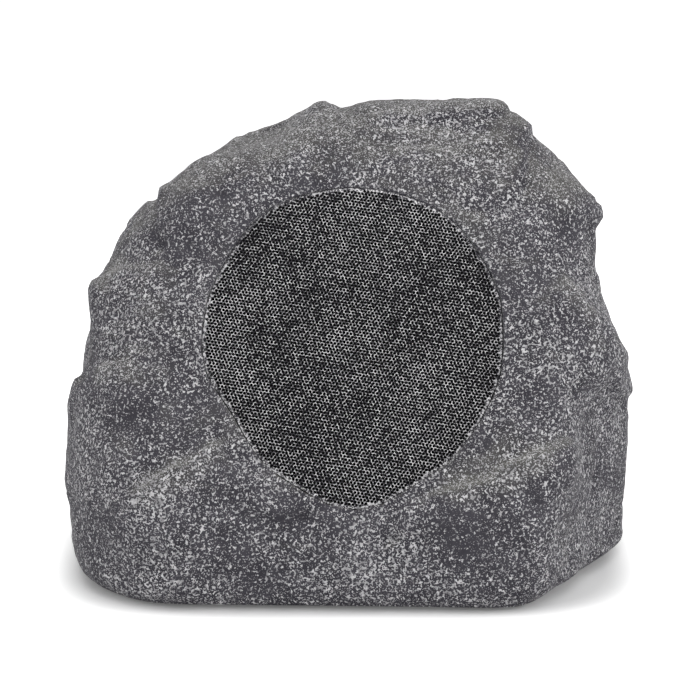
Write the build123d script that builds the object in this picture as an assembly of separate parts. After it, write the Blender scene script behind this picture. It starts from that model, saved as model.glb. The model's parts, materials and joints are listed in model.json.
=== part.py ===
from build123d import *
from math import acos, atan2, cos, degrees, exp, log, pi, radians, sin
import os

os.makedirs("parts", exist_ok=True)

# Garden loudspeaker moulded as a rock. Millimetres, +Z up, grille towards -Y.

# Overall size, standing on its feet
WIDTH = 368
DEPTH = 324
HEIGHT = 300

# Rock form: flat facets blended into each other, seen from a heart inside the rock
HEART_HEIGHT = 115
FACET_SOFTNESS = 6.5
EDGE_ROLL = 8
LEDGE_EDGE = 6
LEDGE_END = 5
FRONT_COLUMNS = 36
BACK_COLUMNS = 20
ROOF_RINGS = 13
ROOF_EDGE = 84
RING_SHARES = (0.25, 0.42, 0.58, 0.72, 0.86)
CAVITY_COLUMNS = 24
CAVITY_SPREAD = 1.5
BASE_SIDES = 36

# Moulding
SHELL_WALL = 6
POCKET_WALL = 6
BAFFLE_THICK = 20
RIM_WALL = 7
FLANGE_WIDTH = 22
FLANGE_THICK = 6

# Base
RIM_LIFT = 3
PLATE_RECESS = 4
PLATE_THICK = 5
PLATE_GAP = 0.8
BASE_GASKET = 1.5
FOOT_RADIUS = 14
FOOT_TAPER = 2
FOOT_INSET = 46
FOOT_ANGLES = (42, 138, 228, 312)
BASE_SCREW_ANGLES = (20, 75, 140, 200, 270, 325)
BASE_SCREW_RADIUS = 2.2
BASE_SCREW_LENGTH = 24
BASE_BOSS_RADIUS = 6
SCREW_HEAD_RATIO = 1.9
SCREW_HEAD_HEIGHT = 2.5
HOLE_GAP = 0.4
PIN_SIDES = 8
ROUND_SIDES = 30

# Grille: edge radius every 30 degrees from the right, over the top
FACE_TILT = 24
FACE_REACH = 118
RIM_RADII = (91, 97, 103, 103.5, 104, 97, 94, 85, 91, 99, 90.5, 88.5)
RIM_SIDES = 36
GRILLE_ACROSS = 5
GRILLE_DROP = 6.5
GRILLE_SETBACK = 4
GRILLE_DEPTH = 14
GRILLE_SHEET = 1.2
GRILLE_GAP = 0.8
GRILLE_BORDER = 7
GRILLE_HOLE = 5.6
GRILLE_PITCH = 18.5
SCRIM_THICK = 0.6

# Woofer
BASKET_RADIUS = 83
BASKET_FLANGE = 3.5
BASKET_GAP = 1
BASKET_MOUTH = 67
BASKET_DEPTH = 50
BASKET_REAR = 44
BASKET_SHEET = 2
BASKET_WINDOWS = 6
WINDOW_WIDTH = 38
BAFFLE_HOLE = 74
DRIVER_SCREW_CIRCLE = 78
DRIVER_SCREWS = 4
DRIVER_SCREW_RADIUS = 2
DRIVER_SCREW_LENGTH = 16
SURROUND_SHEET = 1.2
SURROUND_LIP = 5
SURROUND_ROLL = 5.5
CONE_RADIUS = 56
CONE_DEPTH = 27
CONE_SHEET = 1.2
COIL_RADIUS = 13
FORMER_WALL = 0.6
FORMER_LENGTH = 34
WINDING = 0.8
WINDING_LENGTH = 13
SPIDER_SHEET = 1.2
SPIDER_DEPTH = 33
SPIDER_WAVE = 4
GAP_INSIDE = 0.8
GAP_OUTSIDE = 0.8
PLATE_RADIUS = 40
FRONT_PLATE = 6
MAGNET_RADIUS = 45
MAGNET_BORE = 20
MAGNET_THICK = 16
YOKE_THICK = 6

# Tweeter on a post through the pole
POST_RADIUS = 3.5
POST_GAP = 0.3
POST_TAIL = 8
TWEETER_RADIUS = 17
TWEETER_HEIGHT = 13
TWEETER_LEVEL = -18
DOME_RADIUS = 11
DOME_HEIGHT = 4
NUT_ACROSS = 12
NUT_THICK = 5

# Terminals, leads and crossover
STRIP_WIDTH = 40
STRIP_HEIGHT = 10
STRIP_THICK = 3
LEAD_SPREAD = 14
LEAD_WIDTH = 3
LEAD_THICK = 1
CABLE_WIDTH = 5
CABLE_THICK = 2.2
CABLE_RISE = 16
CABLE_BEND = 8
LUG_GAP = 0.2
BOARD_LENGTH = 90
BOARD_WIDTH = 60
BOARD_THICK = 1.6
BOARD_PLACE = (5, 0)
PEG_HEIGHT = 8
PEG_RADIUS = 4
PEG_PIN = 1.8
PEG_INSET = 6
INDUCTOR_RADIUS = 13
INDUCTOR_LENGTH = 16
INDUCTOR_BORE = 5
CAPACITOR_RADIUS = 6
CAPACITOR_LENGTH = 26
BLOCK_SIZE = (16, 11, 12)

# Cable gland at the back
GLAND_HEIGHT = 52
GLAND_RECESS = 23
GLAND_RECESS_RADIUS = 22
GLAND_PAD = 8
GLAND_THREAD = 6
GLAND_BORE = 4.5
GLAND_FLANGE = 5
GLAND_ACROSS = 20
GLAND_CAP = 12
GLAND_CAP_WALL = 3
GLAND_NUT = 5
SEAL_BORE = 3.5

BASE = (Align.CENTER, Align.CENTER, Align.MIN)

# Azimuth from +X towards +Y, elevation, and reach from the heart
FACETS = {
    "front wall": (268, -4, 160),
    "front face": (270, FACE_TILT, FACE_REACH),
    "brow": (276, 44, 146),
    "front left wall": (224, -4, 200),
    "front right wall": (330, -4, 178),
    "left wall": (190, -4, 190),
    "left rear wall": (174, -4, 190),
    "left cheek": (184, 13, 171),
    "left shoulder": (182, 37, 176),
    "left roof": (188, 58, 170),
    "roof": (80, 87, 183),
    "right shoulder": (2, 43, 199),
    "right cheek": (357, 11, 180),
    "right rear cheek": (18, 12, 176),
    "right wall": (358, -3, 191),
    "right rear wall": (12, -4, 189),
    "right flank": (318, 24, 176),
    "left flank": (222, 26, 168),
    "back wall": (88, -4, 164),
    "back face": (95, 24, 152),
    "back roof": (70, 52, 172),
    "back left": (138, 8, 186),
    "back left roof": (140, 46, 161),
    "back right": (42, 6, 186),
}

# Swellings and hollows: azimuth, elevation, spread in degrees, height
KNOBS = {
    "left shelf": (194, 22, 9, 7),
    "left crease": (208, 35, 9, -5),
    "left hollow": (190, 12, 10, -6),
    "left hip": (198, -6, 10, 2),
    "roof rib": (196, 55, 8, 4),
    "roof saddle": (206, 70, 8, -6),
    "peak": (222, 83, 5, 5),
    "peak notch": (262, 82, 4.5, -5),
    "roof corner": (347, 60, 7, 11),
    "corner step": (348, 51, 6, -10),
    "right nub": (350, 34, 7, 5),
    "right notch": (348, 24, 10, -6),
    "right rear notch": (6, 24, 12, -6),
    "right knuckle": (334, 9, 8, 5),
    "right hollow": (327, -2, 9, -6),
    "right bulge": (306, -12, 12, 8),
    "left bulge": (232, -12, 13, 8),
    "belly crease": (256, -19, 8, -5),
    "right toe": (312, -28, 10, 5),
    "back knob": (60, 30, 14, 7),
    "back dent": (100, 8, 16, -7),
    "back hip": (130, -8, 14, 6),
}

# Lines that the stone steps out from: azimuth and elevation of the middle, lean, half length, fade, height.
# A ledge steps out below its line, and one with a negative fade above it.
LEDGES = {
    "lower right ledge": (302, -10, 22, 13, 12, 5),
    "lower left ledge": (234, -9, 27, 7, 12, 4),
    "left low ledge": (207, 5, 22, 10, 12, 4),
    "left ledge": (203, 26, 32, 9, 12, 4),
    "shoulder ledge": (348, 43, -39, 9, 8, 3),
    "cheek ledge": (337, 17, -46, 11, 9, 4),
    "cheek underside": (334, 2, -16, 16, -10, 3),
    "plateau lip": (322, 70, -47, 12, -7, 4),
}


def aim(azimuth, elevation):
    """Unit vector that points along an azimuth and an elevation."""
    turn = radians(azimuth)
    rise = radians(elevation)
    return Vector(cos(turn) * cos(rise), sin(turn) * cos(rise), sin(rise))


PLANES = [(aim(azimuth, elevation), reach) for azimuth, elevation, reach in FACETS.values()]
SWELLS = [(aim(azimuth, elevation), spread, height) for azimuth, elevation, spread, height in KNOBS.values()]
# The cavity has larger facets, so its hollows are wider
HOLLOWS = [(middle, spread * CAVITY_SPREAD, height) for middle, spread, height in SWELLS if height < 0]


def ease(share):
    """Smooth step from 0 to 1."""
    return (1 - cos(pi * max(0, min(1, share)))) / 2


def ledge_step(ray, azimuth, elevation, lean, half, fade, height):
    """How far a ledge moves the skin out along a ray."""
    middle = aim(azimuth, elevation)
    if middle.dot(ray) < 0.5:
        return 0
    along = aim(azimuth + 90, 0).rotate(Axis((0, 0, 0), middle), lean)
    away = degrees(along.cross(middle).dot(ray))
    if fade < 0:
        away = -away
    past = max(abs(degrees(along.dot(ray))) - half, 0) / LEDGE_END
    return height * ease(0.5 + away / LEDGE_EDGE) * exp(-((max(away, 0) / fade) ** 2) - past ** 2)


def skin(azimuth, elevation, inset=0, swells=SWELLS, ledges=()):
    """Point of the rock's skin, from the heart, with its facets moved in by an inset."""
    ray = aim(azimuth, elevation)
    blend = 0
    for normal, reach in PLANES:
        lean = normal.dot(ray)
        if lean > 0.05:
            blend += exp((inset - reach) / lean / FACET_SOFTNESS)
    radius = -FACET_SOFTNESS * log(blend)
    for middle, spread, height in swells:
        off = degrees(acos(max(-1, min(1, middle.dot(ray)))))
        radius += height * exp(-((off / spread) ** 2))
    radius += sum(ledge_step(ray, *ledge) for ledge in ledges)
    return ray * radius


def level_skin(azimuth, level, inset=0, swells=SWELLS, ledges=()):
    """Point of the skin at a level above the rim, which is below the heart."""
    low = -85
    high = 0
    for _ in range(24):
        middle = (low + high) / 2
        if skin(azimuth, middle, inset, swells, ledges).Z + HEART_HEIGHT < level:
            low = middle
        else:
            high = middle
    point = skin(azimuth, high, inset, swells, ledges)
    return Vector(point.X, point.Y, level - HEART_HEIGHT)


def turns(count):
    return [360 * k / count for k in range(count)]


def skin_rings(azimuths, levels, elevations, inset, *forms):
    """Rings of skin points, by level below the heart and by elevation above it."""
    rings = [[level_skin(a, level, inset + extra, *forms) for a in azimuths] for level, extra in levels]
    rings += [[skin(a, elevation, inset, *forms) for a in azimuths] for elevation in elevations]
    return rings


# The rim's edge is rolled in
ROLL_LEVELS = [(0, EDGE_ROLL), (0.4 * EDGE_ROLL, 0.3 * EDGE_ROLL), (1.2 * EDGE_ROLL, 0)]
BODY_LEVELS = [(share * HEART_HEIGHT, 0) for share in RING_SHARES]
# Columns stand closer together on the front half
COLUMNS = [180 * k / BACK_COLUMNS for k in range(BACK_COLUMNS)]
COLUMNS += [180 + 180 * k / FRONT_COLUMNS for k in range(FRONT_COLUMNS)]
ELEVATIONS = [ROOF_EDGE * k / (ROOF_RINGS - 1) for k in range(ROOF_RINGS)]
OUTER_RINGS = skin_rings(COLUMNS, ROLL_LEVELS + BODY_LEVELS, ELEVATIONS, 0, SWELLS, LEDGES.values())
OUTER_POINTS = [point for ring in OUTER_RINGS for point in ring]
SPAN_X = [point.X for point in OUTER_POINTS]
SPAN_Y = [point.Y for point in OUTER_POINTS]
SPAN_Z = [point.Z for point in OUTER_POINTS]
SCALE_X = WIDTH / (max(SPAN_X) - min(SPAN_X))
SCALE_Y = DEPTH / (max(SPAN_Y) - min(SPAN_Y))
SCALE_Z = (HEIGHT - RIM_LIFT) / (max(SPAN_Z) - min(SPAN_Z))
MIDDLE_X = (max(SPAN_X) + min(SPAN_X)) / 2
MIDDLE_Y = (max(SPAN_Y) + min(SPAN_Y)) / 2


def place(point):
    """Point of the finished rock, from a point of the form."""
    x = (point.X - MIDDLE_X) * SCALE_X
    y = (point.Y - MIDDLE_Y) * SCALE_Y
    return Vector(x, y, RIM_LIFT + (point.Z + HEART_HEIGHT) * SCALE_Z)


def form_level(height):
    """Level of the form that stands at a height of the finished rock."""
    return (height - RIM_LIFT) / SCALE_Z


def facet(*corners):
    return Face(Wire.make_polygon(corners))


def rock_solid(rings, tip):
    """Solid of flat facets through rings of points, from a flat foot to a tip."""
    rows = [[place(point) for point in ring] for ring in rings]
    top = place(tip)
    count = len(rows[0])
    faces = [facet(*rows[0])]
    for low, high in zip(rows, rows[1:]):
        for k in range(count):
            n = (k + 1) % count
            if (low[k] - high[n]).length < (low[n] - high[k]).length:
                faces += [facet(low[k], low[n], high[n]), facet(low[k], high[n], high[k])]
            else:
                faces += [facet(low[k], low[n], high[k]), facet(low[n], high[n], high[k])]
    faces += [facet(rows[-1][k], rows[-1][(k + 1) % count], top) for k in range(count)]
    return Solid(Shell(faces))


def base_outline(inset, height):
    """Corners of the rock's base outline, moved in and laid at a height."""
    level = form_level(height)
    corners = [place(level_skin(a, level, inset, [])) for a in turns(BASE_SIDES)]
    return [Vector(corner.X, corner.Y, height) for corner in corners]


def base_slab(inset, bottom, top):
    return extrude(facet(*base_outline(inset, bottom)), amount=top - bottom, dir=(0, 0, 1))


def turned(*corners):
    """Turned piece about the Z axis from (radius, height) corners, its round drawn as flats."""
    faces = []
    for start in turns(ROUND_SIDES):
        for (low, bottom), (high, top) in zip(corners, corners[1:] + corners[:1]):
            spots = []
            for radius, height, turn in ((low, bottom, 0), (high, top, 0), (high, top, 1), (low, bottom, 1)):
                spot = aim(start + turn * 360 / ROUND_SIDES, 0) * radius + Vector(0, 0, height)
                if all((spot - other).length > 1e-6 for other in spots):
                    spots.append(spot)
            if len(spots) > 2:
                faces.append(facet(*spots))
    return Solid(Shell(faces)).clean()


def rod(radius, bottom, top):
    return turned((0, bottom), (radius, bottom), (radius, top), (0, top))


def tube(outer, inner, bottom, top):
    return turned((inner, bottom), (outer, bottom), (outer, top), (inner, top))


def flats(across, bottom, top, sides=6):
    """Bar with flat sides about the Z axis, by its size across flats."""
    profile = RegularPolygon(across / 2, sides, major_radius=False)
    return Pos(0, 0, bottom) * extrude(profile, amount=top - bottom)


def pin(radius, bottom, top):
    """Small round that repeats, drawn with few faces."""
    return flats(2 * radius, bottom, top, PIN_SIDES)


def screw(radius, length):
    """Pan-head screw along -Z, its head standing on Z = 0."""
    return pin(radius, -length, 0) + pin(radius * SCREW_HEAD_RATIO, 0, SCREW_HEAD_HEIGHT)


def strip_along(points, bend, width, thick, normal):
    """Flat lead along straight runs, with a short run across each bend."""
    spots = [Vector(point) for point in points]
    route = [spots[0]]
    for before, corner, after in zip(spots, spots[1:], spots[2:]):
        route.append(corner + (before - corner).normalized() * bend)
        route.append(corner + (after - corner).normalized() * bend)
    path = Polyline(*route, spots[-1])
    start = Plane(origin=path @ 0, x_dir=normal, z_dir=path % 0)
    return sweep(start * Rectangle(thick, width), path=path, transition=Transition.RIGHT)


# Where the grille looks out: the front facet after scaling
FACE_NORMAL = Vector(0, -cos(radians(FACE_TILT)) / SCALE_Y, sin(radians(FACE_TILT)) / SCALE_Z).normalized()
FACE_UP = FACE_NORMAL.cross(Vector(1, 0, 0))
FACE_FOOT = place(aim(270, FACE_TILT) * FACE_REACH)
SEAT_POINT = (
    FACE_FOOT
    + Vector(GRILLE_ACROSS, 0, 0)
    - FACE_UP * GRILLE_DROP
    - FACE_NORMAL * (GRILLE_SETBACK + GRILLE_DEPTH)
)
# Driver frame: origin on the grille's seat, Z out through the grille, Y up the face
SEAT = Plane(origin=SEAT_POINT, x_dir=(1, 0, 0), z_dir=FACE_NORMAL)
POCKET_REACH = 70
# The baffle backs the whole pocket, with a wall around it
BAFFLE_RADIUS = max(RIM_RADII) + GRILLE_GAP + POCKET_WALL


def rim_radius(angle):
    """Grille edge radius at an angle, eased between the named radii."""
    step = 360 / len(RIM_RADII)
    index = int(angle // step) % len(RIM_RADII)
    share = ease((angle % step) / step)
    return RIM_RADII[index] * (1 - share) + RIM_RADII[(index + 1) % len(RIM_RADII)] * share


def rim_slab(grow, bottom, top):
    """Slab with the grille's outline, grown or shrunk, in the driver frame."""
    corners = []
    for angle in turns(RIM_SIDES):
        radius = rim_radius(angle) + grow
        corners.append((radius * cos(radians(angle)), radius * sin(radians(angle))))
    return Pos(0, 0, bottom) * extrude(make_face(Polyline(*corners, close=True)), amount=top - bottom)


# Heights of the base stack
PLATE_BOTTOM = RIM_LIFT + PLATE_RECESS
PLATE_TOP = PLATE_BOTTOM + PLATE_THICK
LEDGE = PLATE_TOP + BASE_GASKET
FLOOR = LEDGE + FLANGE_THICK
RECESS_INSET = EDGE_ROLL + RIM_WALL
OPENING_INSET = RECESS_INSET + FLANGE_WIDTH
SCREW_INSET = RECESS_INSET + FLANGE_WIDTH / 2
BASE_SCREW_SPOTS = [place(level_skin(a, form_level(LEDGE), SCREW_INSET, [])) for a in BASE_SCREW_ANGLES]
BASE_SCREW_TIP = PLATE_BOTTOM + BASE_SCREW_LENGTH
BASE_BOSS_TOP = BASE_SCREW_TIP + BASE_SCREW_RADIUS * 2

# Gland frame: origin on the recess floor, Z out of the back
BACK_SKIN = place(level_skin(90, form_level(GLAND_HEIGHT)))
GLAND_SPOT = Vector(0, BACK_SKIN.Y - GLAND_RECESS, GLAND_HEIGHT)
GLAND = Plane(origin=GLAND_SPOT, x_dir=(-1, 0, 0), z_dir=(0, 1, 0))

DRIVER_SCREW_SPOTS = PolarLocations(DRIVER_SCREW_CIRCLE, DRIVER_SCREWS, start_angle=45)


def rock_shell():
    rock = rock_solid(OUTER_RINGS, skin(0, 90))
    levels = [(form_level(FLOOR), 0), (0.5 * HEART_HEIGHT, 0)]
    rings = skin_rings(turns(CAVITY_COLUMNS), levels, ELEVATIONS[:-1:2], SHELL_WALL, HOLLOWS)
    cavity = rock_solid(rings, skin(0, 90, SHELL_WALL, HOLLOWS))
    cavity -= SEAT * rod(BAFFLE_RADIUS, -BAFFLE_THICK, POCKET_REACH)
    cavity -= GLAND * rod(GLAND_RECESS_RADIUS + SHELL_WALL, -GLAND_PAD, GLAND_RECESS + POCKET_REACH)
    for spot in BASE_SCREW_SPOTS:
        cavity -= Pos(spot.X, spot.Y, 0) * pin(BASE_BOSS_RADIUS, LEDGE, BASE_BOSS_TOP)
    front = rim_slab(GRILLE_GAP, 0, POCKET_REACH)
    front += rod(BASKET_RADIUS + BASKET_GAP, -BASKET_FLANGE, 0)
    front += rod(BAFFLE_HOLE, -BAFFLE_THICK, -BASKET_FLANGE)
    front += DRIVER_SCREW_SPOTS * pin(DRIVER_SCREW_RADIUS, -DRIVER_SCREW_LENGTH, -BASKET_FLANGE)
    back = rod(GLAND_RECESS_RADIUS, 0, GLAND_RECESS + POCKET_REACH) + rod(GLAND_THREAD, -GLAND_PAD, 0)
    shell = rock - cavity - SEAT * front - GLAND * back
    shell -= base_slab(RECESS_INSET, RIM_LIFT, LEDGE)
    shell -= base_slab(OPENING_INSET, LEDGE, FLOOR)
    for spot in BASE_SCREW_SPOTS:
        shell -= Pos(spot.X, spot.Y, 0) * pin(BASE_SCREW_RADIUS, LEDGE, BASE_SCREW_TIP)
    return shell


def base_holes(bottom, top):
    hole = pin(BASE_SCREW_RADIUS + HOLE_GAP, bottom, top)
    return [Pos(spot.X, spot.Y, 0) * hole for spot in BASE_SCREW_SPOTS]


def board_pegs():
    across = BOARD_LENGTH - 2 * PEG_INSET
    along = BOARD_WIDTH - 2 * PEG_INSET
    return Pos(*BOARD_PLACE) * GridLocations(across, along, 2, 2)


def base_plate():
    plate = base_slab(RECESS_INSET + PLATE_GAP, PLATE_BOTTOM, PLATE_TOP)
    plate -= base_holes(PLATE_BOTTOM, PLATE_TOP)
    peg = pin(PEG_RADIUS, PLATE_TOP, PLATE_TOP + PEG_HEIGHT)
    peg += pin(PEG_PIN, PLATE_TOP + PEG_HEIGHT, PLATE_TOP + PEG_HEIGHT + BOARD_THICK)
    return plate + board_pegs() * peg


def base_gasket():
    ring = base_slab(RECESS_INSET + PLATE_GAP, PLATE_TOP, LEDGE) - base_slab(OPENING_INSET, PLATE_TOP, LEDGE)
    return ring - base_holes(PLATE_TOP, LEDGE)


def base_screws():
    fastener = Rot(180, 0, 0) * screw(BASE_SCREW_RADIUS, BASE_SCREW_LENGTH)
    return [Pos(spot.X, spot.Y, PLATE_BOTTOM) * fastener for spot in BASE_SCREW_SPOTS]


def rubber_feet():
    foot = turned((0, 0), (FOOT_RADIUS - FOOT_TAPER, 0), (FOOT_RADIUS, PLATE_BOTTOM), (0, PLATE_BOTTOM))
    spots = [place(level_skin(a, 0, FOOT_INSET, [])) for a in FOOT_ANGLES]
    return [Pos(spot.X, spot.Y, 0) * foot for spot in spots]


def grille():
    under = GRILLE_DEPTH - GRILLE_SHEET
    cap = rim_slab(0, 0, GRILLE_DEPTH) - rim_slab(-GRILLE_SHEET, 0, under)
    hole = Pos(0, 0, under) * extrude(RegularPolygon(GRILLE_HOLE, 6), amount=GRILLE_SHEET)
    rows = int(2 * max(RIM_RADII) / GRILLE_PITCH) + 2
    spots = []
    for spot in HexLocations(GRILLE_PITCH / 2, rows, rows, major_radius=False):
        x, y, _ = spot.position
        angle = degrees(atan2(y, x)) % 360
        if (x * x + y * y) ** 0.5 + GRILLE_HOLE + GRILLE_BORDER < rim_radius(angle):
            spots.append(spot * hole)
    return SEAT * (cap - spots)


def grille_scrim():
    under = GRILLE_DEPTH - GRILLE_SHEET
    return SEAT * rim_slab(-GRILLE_SHEET - GRILLE_GAP, under - SCRIM_THICK, under)


# Radii and heights of the woofer, from the seat down
FORMER_OUTSIDE = COIL_RADIUS + FORMER_WALL
GAP_RADIUS = FORMER_OUTSIDE + WINDING + GAP_OUTSIDE
POLE_RADIUS = COIL_RADIUS - GAP_INSIDE
MOTOR_TOP = -BASKET_DEPTH
MAGNET_TOP = MOTOR_TOP - FRONT_PLATE
YOKE_TOP = MAGNET_TOP - MAGNET_THICK
YOKE_BOTTOM = YOKE_TOP - YOKE_THICK
NECK = -CONE_DEPTH


def wall_radius(height):
    """Inside radius of the basket's sloping wall."""
    share = (-BASKET_FLANGE - height) / (BASKET_DEPTH - BASKET_SHEET - BASKET_FLANGE)
    return BASKET_MOUTH - (BASKET_MOUTH - BASKET_REAR) * share


def back_radius(height):
    """Outside radius of the basket's sloping wall."""
    share = (-BASKET_FLANGE - height) / (BASKET_DEPTH - BASKET_FLANGE)
    return BASKET_MOUTH + BASKET_SHEET - (BASKET_MOUTH - BASKET_REAR) * share


def cone_height(radius):
    """Front of the cone at a radius."""
    return NECK * (CONE_RADIUS - radius) / (CONE_RADIUS - FORMER_OUTSIDE)


def woofer_basket():
    basket = turned(
        (BASKET_RADIUS, 0),
        (BASKET_RADIUS, -BASKET_FLANGE),
        (BASKET_MOUTH + BASKET_SHEET, -BASKET_FLANGE),
        (BASKET_REAR + BASKET_SHEET, -BASKET_DEPTH),
        (GAP_RADIUS, -BASKET_DEPTH),
        (GAP_RADIUS, BASKET_SHEET - BASKET_DEPTH),
        (BASKET_REAR, BASKET_SHEET - BASKET_DEPTH),
        (BASKET_MOUTH, -BASKET_FLANGE),
        (BASKET_MOUTH, 0),
    )
    window = Pos(0, 0, -SPIDER_DEPTH + SPIDER_WAVE) * Box(
        BASKET_RADIUS, WINDOW_WIDTH, SPIDER_DEPTH - SPIDER_WAVE - 2 * BASKET_FLANGE,
        align=(Align.MIN, Align.CENTER, Align.MIN),
    )
    basket -= PolarLocations(0, BASKET_WINDOWS) * window
    basket -= DRIVER_SCREW_SPOTS * pin(DRIVER_SCREW_RADIUS, -BASKET_FLANGE, 0)
    return SEAT * basket


def driver_screws():
    return [SEAT * spot * screw(DRIVER_SCREW_RADIUS, DRIVER_SCREW_LENGTH) for spot in DRIVER_SCREW_SPOTS]


def woofer_surround():
    """Rubber roll between the basket's flange and the cone's edge."""
    outer = BASKET_MOUTH
    crown = (outer - CONE_RADIUS) / 4
    return SEAT * turned(
        (outer + SURROUND_LIP, 0),
        (outer + SURROUND_LIP, SURROUND_SHEET),
        (outer, SURROUND_SHEET),
        (outer - crown, SURROUND_ROLL + SURROUND_SHEET),
        (CONE_RADIUS + crown, SURROUND_ROLL + SURROUND_SHEET),
        (CONE_RADIUS, SURROUND_SHEET),
        (CONE_RADIUS - SURROUND_LIP, SURROUND_SHEET + cone_height(CONE_RADIUS - SURROUND_LIP)),
        (CONE_RADIUS - SURROUND_LIP, cone_height(CONE_RADIUS - SURROUND_LIP)),
        (CONE_RADIUS, 0),
        (CONE_RADIUS + crown, SURROUND_ROLL),
        (outer - crown, SURROUND_ROLL),
        (outer, 0),
    )


def woofer_cone():
    return SEAT * turned(
        (CONE_RADIUS, 0),
        (CONE_RADIUS, -CONE_SHEET),
        (FORMER_OUTSIDE, NECK - CONE_SHEET),
        (FORMER_OUTSIDE, NECK),
    )


def coil_former():
    return SEAT * tube(FORMER_OUTSIDE, COIL_RADIUS, NECK - FORMER_LENGTH, NECK)


def voice_coil():
    bottom = MOTOR_TOP - FRONT_PLATE / 2 - WINDING_LENGTH / 2
    return SEAT * tube(FORMER_OUTSIDE + WINDING, FORMER_OUTSIDE, bottom, bottom + WINDING_LENGTH)


def spider():
    """Corrugated ring that centres the coil, glued inside the basket and round the former."""
    edge = wall_radius(-SPIDER_DEPTH)
    third = (edge - FORMER_OUTSIDE) / 3
    ridge = [
        (edge, -SPIDER_DEPTH),
        (edge - third, -SPIDER_DEPTH + SPIDER_WAVE / 2),
        (edge - 2 * third, -SPIDER_DEPTH - SPIDER_WAVE / 2),
        (FORMER_OUTSIDE, -SPIDER_DEPTH),
    ]
    under = [(radius, height - SPIDER_SHEET) for radius, height in reversed(ridge)]
    under[-1] = (wall_radius(-SPIDER_DEPTH - SPIDER_SHEET), -SPIDER_DEPTH - SPIDER_SHEET)
    return SEAT * turned(*ridge, *under)


def front_plate():
    return SEAT * tube(PLATE_RADIUS, GAP_RADIUS, MAGNET_TOP, MOTOR_TOP)


def ferrite_magnet():
    return SEAT * tube(MAGNET_RADIUS, MAGNET_BORE, YOKE_TOP, MAGNET_TOP)


def pole_yoke():
    yoke = rod(PLATE_RADIUS, YOKE_BOTTOM, YOKE_TOP) + rod(POLE_RADIUS, YOKE_TOP, MOTOR_TOP)
    return SEAT * (yoke - rod(POST_RADIUS, YOKE_BOTTOM, MOTOR_TOP))


def tweeter_post():
    return SEAT * rod(POST_RADIUS, YOKE_BOTTOM - POST_TAIL, TWEETER_LEVEL)


def post_nut():
    nut = flats(NUT_ACROSS, YOKE_BOTTOM - NUT_THICK, YOKE_BOTTOM)
    return SEAT * (nut - rod(POST_RADIUS, YOKE_BOTTOM - NUT_THICK, YOKE_BOTTOM))


def tweeter_housing():
    top = TWEETER_LEVEL + TWEETER_HEIGHT
    cup = rod(TWEETER_RADIUS, TWEETER_LEVEL, top) - rod(DOME_RADIUS, top - DOME_HEIGHT, top)
    return SEAT * cup


def tweeter_dome():
    bottom = TWEETER_LEVEL + TWEETER_HEIGHT - DOME_HEIGHT
    crown = bottom + DOME_HEIGHT
    return SEAT * turned((0, bottom), (DOME_RADIUS, bottom), (DOME_RADIUS / 2, crown), (0, crown))


STRIP_LEVEL = -SPIDER_DEPTH + SPIDER_WAVE + STRIP_HEIGHT / 2
STRIP_LEAN = atan2(BASKET_MOUTH - BASKET_REAR, BASKET_DEPTH - BASKET_FLANGE)
STRIP_BACK = (
    0,
    -back_radius(STRIP_LEVEL) - STRIP_THICK * cos(STRIP_LEAN),
    STRIP_LEVEL - STRIP_THICK * sin(STRIP_LEAN),
)


def terminal_strip():
    """Strip for the solder lugs, against the basket's lowest arm."""
    strip = Box(STRIP_WIDTH, STRIP_THICK, STRIP_HEIGHT, align=(Align.CENTER, Align.MAX, Align.CENTER))
    return SEAT * Pos(0, -back_radius(STRIP_LEVEL), STRIP_LEVEL) * Rot(degrees(STRIP_LEAN), 0, 0) * strip


def tinsel_leads():
    """Slack leads from the strip's lugs, through the windows, to the back of the cone."""
    start = -back_radius(STRIP_LEVEL) + LEAD_THICK
    landing = (CONE_RADIUS + FORMER_OUTSIDE) / 2
    end = cone_height(landing) - CONE_SHEET
    leads = []
    for side in (-LEAD_SPREAD, LEAD_SPREAD):
        points = [
            (side, start, STRIP_LEVEL),
            (side, (start - landing) / 2, STRIP_LEVEL - 1),
            (side, -landing - 1, end - 5),
            (side, 2 - landing, end - 1),
        ]
        leads.append(SEAT * strip_along(points, 2, LEAD_WIDTH, LEAD_THICK, (0, 0, 1)))
    return leads


BOARD_BOTTOM = PLATE_TOP + PEG_HEIGHT
BOARD_TOP = BOARD_BOTTOM + BOARD_THICK


def crossover_board():
    board = Box(BOARD_LENGTH, BOARD_WIDTH, BOARD_THICK, align=BASE)
    board = Pos(*BOARD_PLACE, BOARD_BOTTOM) * board
    return board - board_pegs() * pin(PEG_PIN, BOARD_BOTTOM, BOARD_TOP)


def on_board(x, y):
    return Pos(BOARD_PLACE[0] + x, BOARD_PLACE[1] + y, BOARD_TOP)


def crossover_inductor():
    return on_board(-BOARD_LENGTH / 5, 0) * tube(INDUCTOR_RADIUS, INDUCTOR_BORE, 0, INDUCTOR_LENGTH)


def crossover_capacitor():
    can = Rot(0, 90, 0) * rod(CAPACITOR_RADIUS, -CAPACITOR_LENGTH / 2, CAPACITOR_LENGTH / 2)
    can = Pos(0, 0, CAPACITOR_RADIUS) * can
    return on_board(BOARD_LENGTH / 5, -BOARD_WIDTH / 5) * can


def terminal_block():
    return on_board(BOARD_LENGTH / 5, BOARD_WIDTH / 4) * Box(*BLOCK_SIZE, align=BASE)


def gland_body():
    end = -GLAND_PAD - 1.5 * GLAND_NUT
    body = flats(GLAND_ACROSS, 0, GLAND_FLANGE) + rod(GLAND_THREAD, end, 0)
    return GLAND * (body - rod(GLAND_BORE, end, GLAND_FLANGE))


def gland_nut():
    nut = flats(GLAND_ACROSS, -GLAND_PAD - GLAND_NUT, -GLAND_PAD)
    return GLAND * (nut - rod(GLAND_THREAD, -GLAND_PAD - GLAND_NUT, -GLAND_PAD))


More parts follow.
